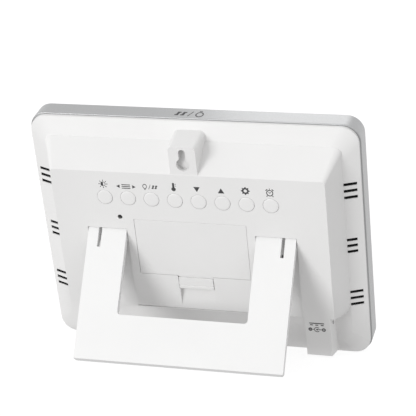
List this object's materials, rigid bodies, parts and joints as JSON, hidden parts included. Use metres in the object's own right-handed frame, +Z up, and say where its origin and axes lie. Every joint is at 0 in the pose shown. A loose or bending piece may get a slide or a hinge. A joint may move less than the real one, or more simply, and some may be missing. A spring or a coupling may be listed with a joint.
{
  "type": "desk clock display in photo-frame form",
  "caption": "Desk display in photo-frame form with silver bezel, white rear cover, push buttons, battery door, power socket, hanging keyhole and fold-out stand.",
  "frame": {"origin": "centre of the bounding box at the level of the surface it stands on", "axes": "+Z up, the display faces -Y and the back with the open stand faces +Y, X along the long side"},
  "size_m": [0.1966, 0.09, 0.1455],
  "materials": {
    "bezel_silver": "satin silver paint on moulded plastic",
    "lens": "clear gloss window",
    "mask_print": "black print behind the window",
    "lcd": "dark segments on a grey panel",
    "light_guide": "clear light guide",
    "chassis": "moulded",
    "board": "green solder mask",
    "chips": "matt epoxy",
    "screw_steel": "zinc plated",
    "flex": "amber ribbon",
    "black_plastic": "moulded",
    "contact_metal": "nickel plated",
    "switches": "moulded",
    "cover_white": "fine satin texture",
    "foot_rubber": "matt",
    "tray_white": "moulded",
    "cell": "plain printed sleeve",
    "door_white": "fine satin texture",
    "lead": "wire insulation",
    "stand_white": "fine satin texture",
    "button_white": "fine satin texture",
    "reset_grey": "moulded"
  },
  "bodies": {
    "case": {"front_bezel": "bezel_silver", "front_lens": "lens", "window_mask": "mask_print", "lcd_glass": "lcd", "backlight_plate": "light_guide", "mid_frame": "chassis", "main_board": "board", "board_chips": "chips", "board_screws": "screw_steel", "lcd_flex": "flex", "buzzer": "black_plastic", "touch_plate": "contact_metal", "temperature_sensor": "chips", "key_board": "board", "tact_switches": "switches", "rear_cover": "cover_white", "case_screws": "screw_steel", "case_feet": "foot_rubber", "battery_tray": "tray_white", "battery_cell_a": "cell", "battery_cell_b": "cell", "battery_cell_c": "cell", "battery_contacts": "contact_metal", "battery_springs": "contact_metal", "dc_jack": "black_plastic", "jack_pin": "contact_metal", "power_leads": "lead"},
    "stand": {"stand": "stand_white"},
    "battery_door": {"battery_door": "door_white"},
    "button_light": {"button_light": "button_white"},
    "button_memory": {"button_memory": "button_white"},
    "button_snooze": {"button_snooze": "button_white"},
    "button_temperature": {"button_temperature": "button_white"},
    "button_down": {"button_down": "button_white"},
    "button_up": {"button_up": "button_white"},
    "button_settings": {"button_settings": "button_white"},
    "button_alarm": {"button_alarm": "button_white"},
    "reset_button": {"reset_button": "reset_grey"}
  },
  "joints": [
    {"name": "stand_fold", "type": "hinge", "parent": "case", "child": "stand", "pos_m": [0, 0.01671, 0.07346], "axis": [-1, 0, 0], "range_deg": [0, 41]},
    {"name": "battery_door_lift", "type": "slide", "parent": "case", "child": "battery_door", "axis": [0, 0.9285, -0.3714], "range_m": [0, 0.014]},
    {"name": "button_light_press", "type": "slide", "parent": "case", "child": "button_light", "axis": [0, -0.9285, 0.3714], "range_m": [0, 0.0006], "stiffness_N_per_m": 250, "springref_m": -0.0015},
    {"name": "button_memory_press", "type": "slide", "parent": "case", "child": "button_memory", "axis": [0, -0.9285, 0.3714], "range_m": [0, 0.0006], "stiffness_N_per_m": 250, "springref_m": -0.0015},
    {"name": "button_snooze_press", "type": "slide", "parent": "case", "child": "button_snooze", "axis": [0, -0.9285, 0.3714], "range_m": [0, 0.0006], "stiffness_N_per_m": 250, "springref_m": -0.0015},
    {"name": "button_temperature_press", "type": "slide", "parent": "case", "child": "button_temperature", "axis": [0, -0.9285, 0.3714], "range_m": [0, 0.0006], "stiffness_N_per_m": 250, "springref_m": -0.0015},
    {"name": "button_down_press", "type": "slide", "parent": "case", "child": "button_down", "axis": [0, -0.9285, 0.3714], "range_m": [0, 0.0006], "stiffness_N_per_m": 250, "springref_m": -0.0015},
    {"name": "button_up_press", "type": "slide", "parent": "case", "child": "button_up", "axis": [0, -0.9285, 0.3714], "range_m": [0, 0.0006], "stiffness_N_per_m": 250, "springref_m": -0.0015},
    {"name": "button_settings_press", "type": "slide", "parent": "case", "child": "button_settings", "axis": [0, -0.9285, 0.3714], "range_m": [0, 0.0006], "stiffness_N_per_m": 250, "springref_m": -0.0015},
    {"name": "button_alarm_press", "type": "slide", "parent": "case", "child": "button_alarm", "axis": [0, -0.9285, 0.3714], "range_m": [0, 0.0006], "stiffness_N_per_m": 250, "springref_m": -0.0015},
    {"name": "reset_button_press", "type": "slide", "parent": "case", "child": "reset_button", "axis": [0, -0.9285, 0.3714], "range_m": [0, 0.0004], "stiffness_N_per_m": 250, "springref_m": -0.001}
  ]
}
